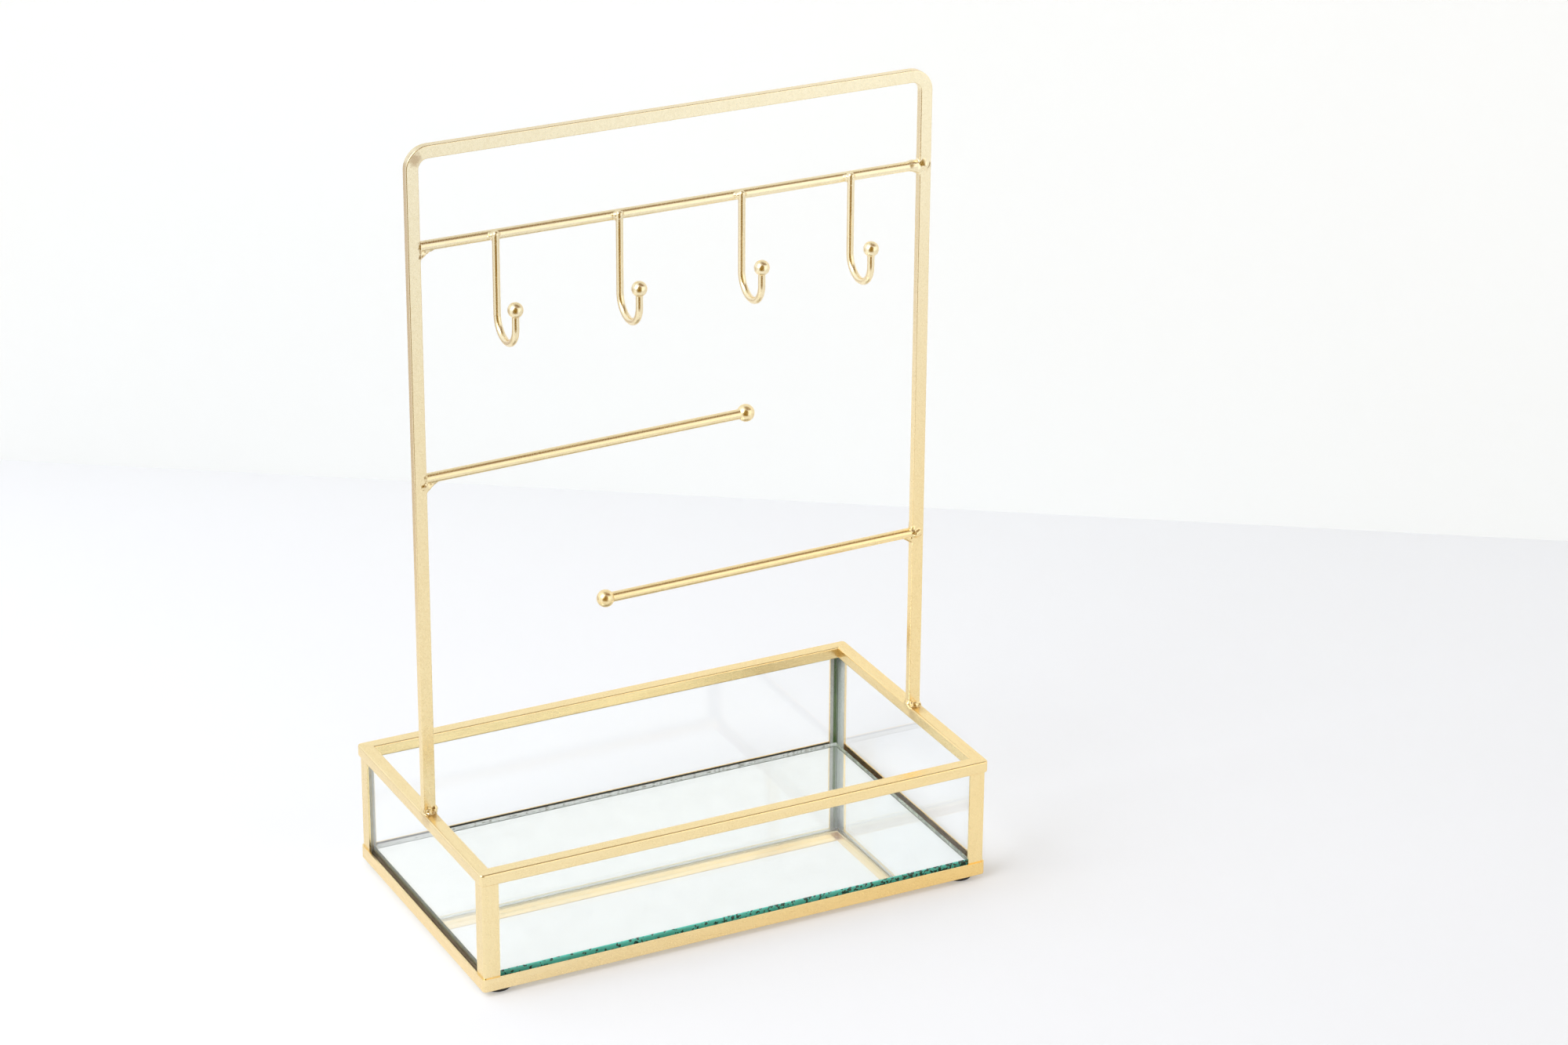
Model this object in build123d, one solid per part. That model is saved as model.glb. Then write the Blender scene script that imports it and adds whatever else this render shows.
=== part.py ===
from build123d import *
import math
import os

# Jewelry stand: a flat-bar hoop with a hook rail and two ball-ended arms, on a framed
# glass tray with a mirror floor. Millimetres, +Z up, front towards -Y.
# The origin is on the table, under the middle of the tray.

# Overall, over the hoop
OVERALL_HEIGHT = 371.0

# Tray, overall
TRAY_WIDTH = 250.0
TRAY_DEPTH = 141.6
TRAY_HEIGHT = 58.0

# Rubber feet under the corners
FOOT_HEIGHT = 2.5
FOOT_DIAMETER = 12.4
FOOT_EDGE_RADIUS = 0.8
FOOT_INSET_X = 9.7
FOOT_INSET_Y = 8.0

# Rim of nearly square bar, standing out a little over the posts and the bottom frame
RIM_BAR_WIDTH = 6.4
RIM_BAR_HEIGHT = 5.8
RIM_OVERHANG = 0.4
RIM_EDGE_RADIUS = 0.9
RIM_CORNER_RADIUS = 2.0

# Bottom frame of angle section, its upright lip outside
LIP_HEIGHT = 6.3
SHELF_WIDTH = 8.0
ANGLE_WALL = 0.7
ANGLE_EDGE_RADIUS = 0.4

# Corner posts of angle section
POST_LEG = 7.7
POST_WALL = 1.0
POST_CORNER_RADIUS = 1.0

# Glass, mirror and the board under it
PANE_THICKNESS = 3.0
PANE_END_CLEARANCE = 0.15
PANE_TOP_CLEARANCE = 0.2
MIRROR_THICKNESS = 3.0
MIRROR_SIDE_CLEARANCE = 1.2
MIRROR_END_CLEARANCE = 0.2
BOARD_THICKNESS = 3.5
BOARD_CLEARANCE = 0.3

# Hoop of flat bar, standing on the side rims
HOOP_SETBACK = 0.3
HOOP_PLANE_Y = -4.7
HOOP_BAR_WIDTH = 5.8
HOOP_BAR_DEPTH = 3.8
HOOP_EDGE_RADIUS = 0.5
HOOP_BEND_RADIUS = 4.5

# Hook rail between the legs
RAIL_DIAMETER = 4.6
RAIL_DROP = 44.7

# Hooks of round wire: an even pitch between the end gaps, each set a little off it by hand
HOOK_END_GAP = 34.2
HOOK_OFFSETS = (-0.9, 0.2, 2.1, -1.1)
HOOK_WIRE = 3.2
HOOK_TOP_RISE = 3.0
HOOK_SHAFT_DROP = 34.1
HOOK_BEND_RADIUS = 9.8
HOOK_TIP_RISE = 8.1
HOOK_BALL_DIAMETER = 6.9
HOOK_SOCKET_DEPTH = 2.2

# Arms: heights above the rim at the root, and how far the ball end leans up or down
ARM_DIAMETER = 4.6
ARM_BALL_DIAMETER = 8.0
ARM_SOCKET_DEPTH = 2.4
UPPER_ARM_HEIGHT = 159.7
UPPER_ARM_LENGTH = 153.4
UPPER_ARM_RISE = 2.9
LOWER_ARM_HEIGHT = 88.1
LOWER_ARM_LENGTH = 153.5
LOWER_ARM_RISE = -2.0
SOCKET_CLEARANCE = 0.04

# Braze beads
BEAD_HOLLOW = 0.9
BEAD_REACH = 6.0
BEAD_FLARE = 2.6
BEAD_SAG = 1.2
BEAD_HALF_DEPTH = 2.7
BEAD_CAP_RADIUS = 2.7
BEAD_CAP_HEIGHT = 0.8
HOOK_BEAD_RADIUS = 2.5
BEAD_CLEARANCE = 0.03
FOOT_BEAD_REACH = 2.2
FOOT_BEAD_RISE = 3.4
FOOT_BEAD_INSET = 0.5

# Levels and half sizes that several pieces share
HALF_WIDTH = TRAY_WIDTH / 2
HALF_DEPTH = TRAY_DEPTH / 2
RIM_TOP = FOOT_HEIGHT + TRAY_HEIGHT
RIM_BOTTOM = RIM_TOP - RIM_BAR_HEIGHT
RIM_HALF_WIDTH = HALF_WIDTH + RIM_OVERHANG
RIM_HALF_DEPTH = HALF_DEPTH + RIM_OVERHANG
SHELF_TOP = FOOT_HEIGHT + ANGLE_WALL
PANE_INSET = ANGLE_WALL + POST_WALL
WELL_INSET = PANE_INSET + PANE_THICKNESS
LEG_OUTER_X = HALF_WIDTH - HOOP_SETBACK
LEG_INNER_X = LEG_OUTER_X - HOOP_BAR_WIDTH
LEG_FRONT_Y = HOOP_PLANE_Y - HOOP_BAR_DEPTH / 2
HOOP_RISE = OVERALL_HEIGHT - RIM_TOP
RAIL_Z = OVERALL_HEIGHT - RAIL_DROP
HOOK_Y = HOOP_PLANE_Y - (RAIL_DIAMETER + HOOK_WIRE) / 2
HOOK_BEND_Z = RAIL_Z - HOOK_SHAFT_DROP


def mitred(ring, depth):
    """Cuts a rectangular ring along its four corner diagonals into one piece per side."""
    tall = 2 * RIM_TOP
    pieces = {}
    for name, sign in (("front", -1), ("back", 1)):
        outline = Polyline(
            (-RIM_HALF_WIDTH, sign * RIM_HALF_DEPTH),
            (RIM_HALF_WIDTH, sign * RIM_HALF_DEPTH),
            (RIM_HALF_WIDTH - depth, sign * (RIM_HALF_DEPTH - depth)),
            (-RIM_HALF_WIDTH + depth, sign * (RIM_HALF_DEPTH - depth)),
            close=True,
        )
        pieces[name] = ring & extrude(make_face(outline), tall, dir=(0, 0, 1))
    for name, sign in (("left", -1), ("right", 1)):
        outline = Polyline(
            (sign * RIM_HALF_WIDTH, -RIM_HALF_DEPTH),
            (sign * RIM_HALF_WIDTH, RIM_HALF_DEPTH),
            (sign * (RIM_HALF_WIDTH - depth), RIM_HALF_DEPTH - depth),
            (sign * (RIM_HALF_WIDTH - depth), -RIM_HALF_DEPTH + depth),
            close=True,
        )
        pieces[name] = ring & extrude(make_face(outline), tall, dir=(0, 0, 1))
    return pieces


def rim_rails():
    """Rim of bar with softened edges, mitred and rounded at the corners."""
    width = 2 * RIM_HALF_WIDTH
    depth = 2 * RIM_HALF_DEPTH
    outer = RectangleRounded(width, depth, RIM_CORNER_RADIUS)
    inner = Rectangle(width - 2 * RIM_BAR_WIDTH, depth - 2 * RIM_BAR_WIDTH)
    ring = Pos(0, 0, RIM_BOTTOM) * extrude(outer - inner, RIM_BAR_HEIGHT)
    levels = ring.edges().group_by(Axis.Z)
    ring = fillet(levels[0] + levels[-1], RIM_EDGE_RADIUS)
    return mitred(ring, 2 * RIM_BAR_WIDTH)


def bottom_rails():
    """Bent angle frame: an upright lip outside, and a shelf that carries glass and board."""
    outer = RectangleRounded(TRAY_WIDTH, TRAY_DEPTH, POST_CORNER_RADIUS + ANGLE_WALL)
    inner = RectangleRounded(
        TRAY_WIDTH - 2 * ANGLE_WALL, TRAY_DEPTH - 2 * ANGLE_WALL, POST_CORNER_RADIUS
    )
    hole = Rectangle(TRAY_WIDTH - 2 * SHELF_WIDTH, TRAY_DEPTH - 2 * SHELF_WIDTH)
    lip = extrude(outer - inner, LIP_HEIGHT)
    shelf = extrude(outer - hole, ANGLE_WALL)
    frame = lip + shelf
    floor_edges = frame.edges().group_by(Axis.Z)[0]
    outside = floor_edges.filter_by(
        lambda edge: max(
            abs(edge.center().X) / HALF_WIDTH, abs(edge.center().Y) / HALF_DEPTH
        )
        > 1 - ANGLE_WALL / HALF_DEPTH
    )
    frame = fillet(outside, ANGLE_EDGE_RADIUS)
    return mitred(Pos(0, 0, FOOT_HEIGHT) * frame, 2 * SHELF_WIDTH)


def corner_posts():
    """Angle-section posts, nested in the bottom frame's lip and welded under the rim."""
    full = RectangleRounded(
        TRAY_WIDTH - 2 * ANGLE_WALL, TRAY_DEPTH - 2 * ANGLE_WALL, POST_CORNER_RADIUS
    )
    core = Rectangle(TRAY_WIDTH - 2 * PANE_INSET, TRAY_DEPTH - 2 * PANE_INSET)
    shell = Pos(0, 0, SHELF_TOP) * extrude(full - core, RIM_BOTTOM - SHELF_TOP)
    posts = {}
    for depth_name, sign_y in (("front", -1), ("back", 1)):
        for side_name, sign_x in (("left", -1), ("right", 1)):
            corner = Pos(
                sign_x * (HALF_WIDTH - ANGLE_WALL), sign_y * (HALF_DEPTH - ANGLE_WALL), 0
            )
            window = corner * Box(2 * POST_LEG, 2 * POST_LEG, 2 * RIM_TOP)
            posts[f"{depth_name}_{side_name}"] = shell & window
    return posts


def glass_panes():
    """Four panes behind the posts: the side panes run full depth, the others between them."""
    height = RIM_BOTTOM - SHELF_TOP - PANE_TOP_CLEARANCE
    middle_z = SHELF_TOP + height / 2
    side_length = TRAY_DEPTH - 2 * (PANE_INSET + PANE_END_CLEARANCE)
    cross_length = TRAY_WIDTH - 2 * (WELL_INSET + PANE_END_CLEARANCE)
    side_x = HALF_WIDTH - PANE_INSET - PANE_THICKNESS / 2
    cross_y = HALF_DEPTH - PANE_INSET - PANE_THICKNESS / 2
    panes = {}
    for name, sign in (("left", -1), ("right", 1)):
        pane = Box(PANE_THICKNESS, side_length, height)
        panes[name] = Pos(sign * side_x, 0, middle_z) * pane
    for name, sign in (("front", -1), ("back", 1)):
        pane = Box(cross_length, PANE_THICKNESS, height)
        panes[name] = Pos(0, sign * cross_y, middle_z) * pane
    return panes


def base_board():
    """Board that lies on the bottom frame's shelf, inside the panes."""
    inset = WELL_INSET + BOARD_CLEARANCE
    board = Box(TRAY_WIDTH - 2 * inset, TRAY_DEPTH - 2 * inset, BOARD_THICKNESS)
    return Pos(0, 0, SHELF_TOP + BOARD_THICKNESS / 2) * board


def mirror_plate():
    """Thick mirror that lies on the board, narrower than the well at its two sides."""
    plate = Box(
        TRAY_WIDTH - 2 * (WELL_INSET + MIRROR_SIDE_CLEARANCE),
        TRAY_DEPTH - 2 * (WELL_INSET + MIRROR_END_CLEARANCE),
        MIRROR_THICKNESS,
    )
    return Pos(0, 0, SHELF_TOP + BOARD_THICKNESS + MIRROR_THICKNESS / 2) * plate


def rubber_feet():
    """Short rubber pads, glued under the corners, softened at the table edge."""
    pad = Pos(0, 0, FOOT_HEIGHT / 2) * Cylinder(FOOT_DIAMETER / 2, FOOT_HEIGHT)
    pad = fillet(pad.edges().group_by(Axis.Z)[0], FOOT_EDGE_RADIUS)
    feet = {}
    for depth_name, sign_y in (("front", -1), ("back", 1)):
        for side_name, sign_x in (("left", -1), ("right", 1)):
            centre = (sign_x * (HALF_WIDTH - FOOT_INSET_X), sign_y * (HALF_DEPTH - FOOT_INSET_Y))
            feet[f"{depth_name}_{side_name}"] = Pos(*centre, 0) * pad
    return feet


def hoop_frame():
    """Flat bar bent into an upside-down U, with softened long edges."""
    width = 2 * LEG_OUTER_X
    outline = RectangleRounded(width, 2 * HOOP_RISE, HOOP_BEND_RADIUS + HOOP_BAR_WIDTH)
    window = RectangleRounded(
        width - 2 * HOOP_BAR_WIDTH, 2 * (HOOP_RISE - HOOP_BAR_WIDTH), HOOP_BEND_RADIUS
    )
    loop = extrude(Plane.XZ * (outline - window), HOOP_BAR_DEPTH / 2, both=True)
    faces_y = loop.edges().group_by(Axis.Y)
    loop = fillet(faces_y[0] + faces_y[-1], HOOP_EDGE_RADIUS)
    loop = split(loop, bisect_by=Plane.XY, keep=Keep.TOP)
    return Pos(0, HOOP_PLANE_Y, RIM_TOP) * loop


def hook_rail():
    """Round rod that ends flat on the inner faces of the two legs."""
    rod = Rot(0, 90, 0) * Cylinder(RAIL_DIAMETER / 2, 2 * LEG_INNER_X)
    return Pos(0, HOOP_PLANE_Y, RAIL_Z) * rod


def hook_places():
    """Where the four shafts stand along the rail, from its middle."""
    first = -LEG_INNER_X + HOOK_END_GAP
    pitch = -2 * first / (len(HOOK_OFFSETS) - 1)
    return [first + i * pitch + offset for i, offset in enumerate(HOOK_OFFSETS)]


def hook(x):
    """J of round wire: a shaft with a domed top, a half-circle bend forward and a short tip."""
    wire_radius = HOOK_WIRE / 2
    top = (x, HOOK_Y, RAIL_Z + HOOK_TOP_RISE - wire_radius)
    back = (x, HOOK_Y, HOOK_BEND_Z)
    bottom = (x, HOOK_Y - HOOK_BEND_RADIUS, HOOK_BEND_Z - HOOK_BEND_RADIUS)
    front = (x, HOOK_Y - 2 * HOOK_BEND_RADIUS, HOOK_BEND_Z)
    seat_drop = HOOK_BALL_DIAMETER / 2 - HOOK_SOCKET_DEPTH
    tip = (x, front[1], HOOK_BEND_Z + HOOK_TIP_RISE - seat_drop)
    path = Line(top, back) + ThreePointArc(back, bottom, front) + Line(front, tip)
    section = Pos(*top) * Circle(wire_radius)
    return sweep(section, path=path) + Pos(*top) * Sphere(wire_radius)


def hook_ball(x):
    """Ball with a blind socket from below, where the wire's tip is brazed in."""
    centre = Pos(x, HOOK_Y - 2 * HOOK_BEND_RADIUS, HOOK_BEND_Z + HOOK_TIP_RISE)
    return centre * socketed_ball(HOOK_BALL_DIAMETER, HOOK_WIRE, HOOK_SOCKET_DEPTH)


def socketed_ball(diameter, stem_diameter, depth):
    """Ball at the origin whose blind socket opens downwards; depth is from its lowest point."""
    radius = diameter / 2
    socket_radius = stem_diameter / 2 + SOCKET_CLEARANCE
    socket = Pos(0, 0, depth - radius) * Cylinder(
        socket_radius, diameter, align=(Align.CENTER, Align.CENTER, Align.MAX)
    )
    return Sphere(radius) - socket


def arm(side, height, length, rise):
    """Round rod from a leg's inner face, and the ball on its free end; side is -1 or 1."""
    root = Vector(side * LEG_INNER_X, HOOP_PLANE_Y, RIM_TOP + height)
    ball_centre = root + Vector(-side * length, 0, rise)
    reach = math.hypot(length, rise)
    tilt = math.degrees(math.atan2(-side * length, rise))
    lying = Rot(0, tilt, 0)
    seat = ARM_BALL_DIAMETER / 2 - ARM_SOCKET_DEPTH
    rod_length = reach - seat + ARM_DIAMETER
    rod = Pos(*root) * lying * (
        Pos(0, 0, rod_length / 2 - ARM_DIAMETER) * Cylinder(ARM_DIAMETER / 2, rod_length)
    )
    leg_face = Plane(origin=tuple(root), z_dir=(-side, 0, 0))
    rod = split(rod, bisect_by=leg_face, keep=Keep.TOP)
    ball = socketed_ball(ARM_BALL_DIAMETER, ARM_DIAMETER, ARM_SOCKET_DEPTH)
    return rod, Pos(*ball_centre) * lying * ball


def hollow_arc(reach, rise, base):
    """Hollow arc of a bead, from (reach, base) up to (0, base + rise), dipping to the corner."""
    steepest = math.atan2(min(reach, rise), max(reach, rise))
    chord = math.hypot(reach, rise)
    dip = chord / 2 * math.tan(BEAD_HOLLOW * steepest / 2)
    middle = (reach / 2 - dip * rise / chord, base + rise / 2 - dip * reach / chord)
    return ThreePointArc((reach, base), middle, (0, base + rise))


def root_bead(side, z, rod, diameter, hoop):
    """Braze bead where a rod meets a leg: a flared skirt that sags, and a cap on the front."""
    radius = diameter / 2
    profile = make_face(
        Line((0, 0), (BEAD_REACH, 0))
        + Line((BEAD_REACH, 0), (BEAD_REACH, radius))
        + hollow_arc(BEAD_REACH, BEAD_FLARE, radius)
        + Line((0, radius + BEAD_FLARE), (0, 0))
    )
    skirt = revolve(profile, Axis.X)
    if side > 0:
        skirt = Rot(0, 0, 180) * skirt
    slab = Box(4 * BEAD_REACH, 2 * BEAD_HALF_DEPTH, 4 * BEAD_REACH)
    root = Pos(side * LEG_INNER_X, HOOP_PLANE_Y, z - BEAD_SAG)
    cap_sphere = (BEAD_CAP_RADIUS**2 + BEAD_CAP_HEIGHT**2) / (2 * BEAD_CAP_HEIGHT)
    cap_x = side * (LEG_INNER_X + BEAD_CAP_RADIUS / 2)
    cap_y = LEG_FRONT_Y - BEAD_CAP_HEIGHT + cap_sphere
    cap = Pos(cap_x, cap_y, z - BEAD_SAG) * Sphere(cap_sphere)
    front = Plane(origin=(0, LEG_FRONT_Y, 0), z_dir=(0, -1, 0))
    cap = split(cap, bisect_by=front, keep=Keep.TOP)
    bead = root * (skirt & slab) + cap
    return bead - rod - hoop


def hook_bead(x):
    """Lump of braze in the valley between a hook's shaft and the rail."""
    span = 4 * HOOK_BEAD_RADIUS
    rail_radius = RAIL_DIAMETER / 2 + BEAD_CLEARANCE
    shaft_radius = HOOK_WIRE / 2 + BEAD_CLEARANCE
    rail_hole = Pos(x, HOOP_PLANE_Y, RAIL_Z) * Rot(0, 90, 0) * Cylinder(rail_radius, span)
    shaft_hole = Pos(x, HOOK_Y, RAIL_Z) * Cylinder(shaft_radius, span)
    touch_y = HOOP_PLANE_Y - RAIL_DIAMETER / 2
    return Pos(x, touch_y, RAIL_Z) * Sphere(HOOK_BEAD_RADIUS) - rail_hole - shaft_hole


def foot_beads():
    """Hollow fillets of braze in front of and behind each leg's foot, on the rim."""
    profile = make_face(
        Line((0, 0), (FOOT_BEAD_REACH, 0))
        + hollow_arc(FOOT_BEAD_REACH, FOOT_BEAD_RISE, 0)
        + Line((0, FOOT_BEAD_RISE), (0, 0))
    )
    width = HOOP_BAR_WIDTH - 2 * (HOOP_EDGE_RADIUS + FOOT_BEAD_INSET)
    beads = []
    for side in (-1, 1):
        leg_x = side * (LEG_OUTER_X - HOOP_BAR_WIDTH / 2)
        for face in (-1, 1):
            fillet_bar = extrude(Plane.YZ * profile, width / 2, both=True)
            if face < 0:
                fillet_bar = Rot(0, 0, 180) * fillet_bar
            foot = Pos(leg_x, HOOP_PLANE_Y + face * HOOP_BAR_DEPTH / 2, RIM_TOP)
            beads.append(foot * fillet_bar)
    return beads


def build():
    """Makes every piece, by node name."""
    parts = {}
    hoop = hoop_frame()
    rail = hook_rail()
    parts["hoop_frame"] = hoop
    parts["hook_rail"] = rail
    hook_beads = []
    for number, x in enumerate(hook_places(), start=1):
        parts[f"hook_{number}"] = hook(x)
        parts[f"hook_ball_{number}"] = hook_ball(x)
        hook_beads.append(hook_bead(x))
    parts["hook_welds"] = Compound(children=hook_beads)
    upper_rod, upper_ball = arm(-1, UPPER_ARM_HEIGHT, UPPER_ARM_LENGTH, UPPER_ARM_RISE)
    lower_rod, lower_ball = arm(1, LOWER_ARM_HEIGHT, LOWER_ARM_LENGTH, LOWER_ARM_RISE)
    parts["upper_arm_rod"] = upper_rod
    parts["upper_arm_ball"] = upper_ball
    parts["lower_arm_rod"] = lower_rod
    parts["lower_arm_ball"] = lower_ball
    upper_z = RIM_TOP + UPPER_ARM_HEIGHT
    lower_z = RIM_TOP + LOWER_ARM_HEIGHT
    upper_bead = root_bead(-1, upper_z, upper_rod, ARM_DIAMETER, hoop)
    lower_bead = root_bead(1, lower_z, lower_rod, ARM_DIAMETER, hoop)
    parts["arm_welds"] = Compound(children=[upper_bead, lower_bead])
    rail_beads = [root_bead(side, RAIL_Z, rail, RAIL_DIAMETER, hoop) for side in (-1, 1)]
    parts["rail_welds"] = Compound(children=rail_beads)
    parts["hoop_foot_welds"] = Compound(children=foot_beads())
    for name, rail_piece in rim_rails().items():
        parts[f"top_rail_{name}"] = rail_piece
    for name, rail_piece in bottom_rails().items():
        parts[f"bottom_rail_{name}"] = rail_piece
    for name, post in corner_posts().items():
        parts[f"corner_post_{name}"] = post
    for name, pane in glass_panes().items():
        parts[f"glass_{name}"] = pane
    parts["mirror_plate"] = mirror_plate()
    parts["base_board"] = base_board()
    for name, foot in rubber_feet().items():
        parts[f"rubber_foot_{name}"] = foot
    return parts


os.makedirs("parts", exist_ok=True)
for node, shape in build().items():
    export_step(shape, f"parts/{node}.step")
    print(node, len(shape.solids()), round(shape.volume, 1))
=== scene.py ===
# %% [markdown]
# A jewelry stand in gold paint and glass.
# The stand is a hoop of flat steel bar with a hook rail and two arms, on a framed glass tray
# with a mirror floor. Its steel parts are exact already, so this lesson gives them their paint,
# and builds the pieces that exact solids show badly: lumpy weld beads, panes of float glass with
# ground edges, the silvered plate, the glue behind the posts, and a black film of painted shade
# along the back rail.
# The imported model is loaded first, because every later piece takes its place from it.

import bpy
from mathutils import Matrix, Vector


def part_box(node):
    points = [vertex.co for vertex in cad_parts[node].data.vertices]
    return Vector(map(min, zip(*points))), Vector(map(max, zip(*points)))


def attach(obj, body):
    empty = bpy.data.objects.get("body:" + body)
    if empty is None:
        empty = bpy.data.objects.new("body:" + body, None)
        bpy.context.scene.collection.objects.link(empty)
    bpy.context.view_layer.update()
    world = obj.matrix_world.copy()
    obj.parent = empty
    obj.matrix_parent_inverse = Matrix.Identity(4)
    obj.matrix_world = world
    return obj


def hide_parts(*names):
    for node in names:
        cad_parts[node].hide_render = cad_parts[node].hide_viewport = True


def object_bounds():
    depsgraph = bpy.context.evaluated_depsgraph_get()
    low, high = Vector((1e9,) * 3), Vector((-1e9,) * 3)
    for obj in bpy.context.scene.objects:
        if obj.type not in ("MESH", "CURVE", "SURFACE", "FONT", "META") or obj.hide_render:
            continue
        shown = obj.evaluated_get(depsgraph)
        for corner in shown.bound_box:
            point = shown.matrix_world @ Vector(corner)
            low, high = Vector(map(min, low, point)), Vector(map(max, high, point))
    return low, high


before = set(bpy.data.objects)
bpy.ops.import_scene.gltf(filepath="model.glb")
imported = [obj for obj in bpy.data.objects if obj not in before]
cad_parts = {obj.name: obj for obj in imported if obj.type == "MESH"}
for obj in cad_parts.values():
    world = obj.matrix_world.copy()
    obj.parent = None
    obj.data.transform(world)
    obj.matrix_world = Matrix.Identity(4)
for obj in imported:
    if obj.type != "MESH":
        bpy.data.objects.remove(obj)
cad_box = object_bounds()
print("nodes", len(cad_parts), "box", [tuple(corner) for corner in cad_box])

# %% Libraries and units
import math

import bpy
import numpy as np
from mathutils import Matrix

MM = 0.001
BODY = "root"


def add_object(name, data):
    """Puts a new object into the scene."""
    obj = bpy.data.objects.new(name, data)
    bpy.context.scene.collection.objects.link(obj)
    return obj


# %% [markdown]
# The camera.
# A long lens stands well back, in front and a little to the left, and looks down into the tray.
# It could be aimed at a point, but three angles say plainly how it stands: the turn round the
# stand, the tilt down and a small roll.

# %% Camera
LENS_MM = 104.12
SENSOR_MM = 36.0
CAMERA_PLACE = (-0.79335, -1.66524, 0.99246)
VIEW_TURN = math.radians(-27.034)
VIEW_TILT = math.radians(23.905)
VIEW_ROLL = math.radians(0.43)

camera_data = bpy.data.cameras.new("studio_camera")
camera_data.lens = LENS_MM
camera_data.sensor_width = SENSOR_MM
camera = add_object("studio_camera", camera_data)
camera.matrix_world = (
    Matrix.Translation(CAMERA_PLACE)
    @ Matrix.Rotation(VIEW_TURN, 4, "Z")
    @ Matrix.Rotation(math.pi / 2 - VIEW_TILT, 4, "X")
    @ Matrix.Rotation(VIEW_ROLL, 4, "Z")
)
bpy.context.scene.camera = camera
bpy.context.scene.view_settings.view_transform = "Standard"
print("camera at", CAMERA_PLACE, "lens", LENS_MM)

# %% [markdown]
# Helpers for shader trees.
# A tree written call by call gets long and hides what a finish is made of. One helper adds a node
# and fills or links its inputs, and the others are the few steps that come back in every finish.

# %% Shader helpers
MIX_FACTOR, MIX_A, MIX_B, MIX_RESULT = 0, 6, 7, 2


def fill(node, sockets):
    """Links or sets the named inputs of a node."""
    for key, value in sockets.items():
        if isinstance(value, bpy.types.NodeSocket):
            node.id_data.links.new(value, node.inputs[key])
        else:
            node.inputs[key].default_value = value
    return node


def put(tree, kind, sockets=None, **settings):
    """Adds a shader node, sets its properties, and fills or links its inputs."""
    node = tree.nodes.new("ShaderNode" + kind)
    for name, value in settings.items():
        setattr(node, name, value)
    return fill(node, sockets or {})


def mixed(tree, mask, first, second, mode="MIX"):
    """The first colour where mask is 0 and the second where it is 1."""
    sockets = {MIX_FACTOR: mask, MIX_A: first, MIX_B: second}
    return put(tree, "Mix", sockets, data_type="RGBA", blend_type=mode).outputs[MIX_RESULT]


def maths(tree, operation, *values):
    """One arithmetic step on values or sockets."""
    return put(tree, "Math", dict(enumerate(values)), operation=operation).outputs[0]


def vectors(tree, operation, *values, result="Vector"):
    """One arithmetic step on vectors; result names the output that is wanted."""
    return put(tree, "VectorMath", dict(enumerate(values)), operation=operation).outputs[result]


def eased(tree, value, low, high, start=0.0, end=1.0):
    """Goes smoothly from start to end while value goes from low to high."""
    sockets = {"Value": value, "From Min": low, "From Max": high, "To Min": start, "To Max": end}
    return put(tree, "MapRange", sockets, interpolation_type="SMOOTHSTEP").outputs["Result"]


def noise(tree, place, size, detail=2.0, roughness=0.5, result="Fac"):
    """Noise between 0 and 1 whose lumps are about size metres across; size may be a socket."""
    scale = 1 / size if isinstance(size, float) else maths(tree, "DIVIDE", 1.0, size)
    sockets = {"Vector": place, "Scale": scale, "Detail": detail, "Roughness": roughness}
    return put(tree, "TexNoise", sockets).outputs[result]


def bumped(tree, height, strength, distance):
    """A normal tilted as if the surface rose with height, by distance metres at most."""
    sockets = {"Height": height, "Strength": strength, "Distance": distance}
    return put(tree, "Bump", sockets).outputs["Normal"]


def end_with(tree, out, sockets):
    """Ends a material with one principled surface."""
    fill(out, {"Surface": put(tree, "BsdfPrincipled", sockets).outputs[0]})


def rgba(red, green, blue):
    """A colour with full alpha."""
    return (red, green, blue, 1.0)


def new_material(name):
    """An empty material: the material, its tree, its output node and the place that it shades."""
    material = bpy.data.materials.new(name)
    material.use_nodes = True
    tree = material.node_tree
    tree.nodes.clear()
    place = put(tree, "TexCoord").outputs["Object"]
    return material, tree, put(tree, "OutputMaterial"), place


def new_group(name, inputs, outputs):
    """An empty shader group, with its two ends; inputs and outputs give each socket's kind."""
    group = bpy.data.node_groups.new(name, "ShaderNodeTree")
    for direction, sockets in (("INPUT", inputs), ("OUTPUT", outputs)):
        for socket, kind in sockets.items():
            group.interface.new_socket(socket, in_out=direction, socket_type="NodeSocket" + kind)
    return group, group.nodes.new("NodeGroupInput").outputs, group.nodes.new("NodeGroupOutput")


def place_group(tree, group, sockets):
    """Puts a group into a material's tree, with that material's own values."""
    return fill(put(tree, "Group", node_tree=group), sockets).outputs


# %% [markdown]
# The stage.
# The stand is on a pale table before a pale wall. Both are plain planes: real paint on them sends
# back only part of the light and looks grey, so what the camera, the metal and the glass see of
# them gets a little light of its own. That light falls on no matt surface, so the soft shadow
# under the tray stays. The table ends half a metre in front of the stand and past the picture's
# left side, because the metal shows that the room begins there. The wall is open from behind, so
# that it never stands between the stand and a camera on the other side.

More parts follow.
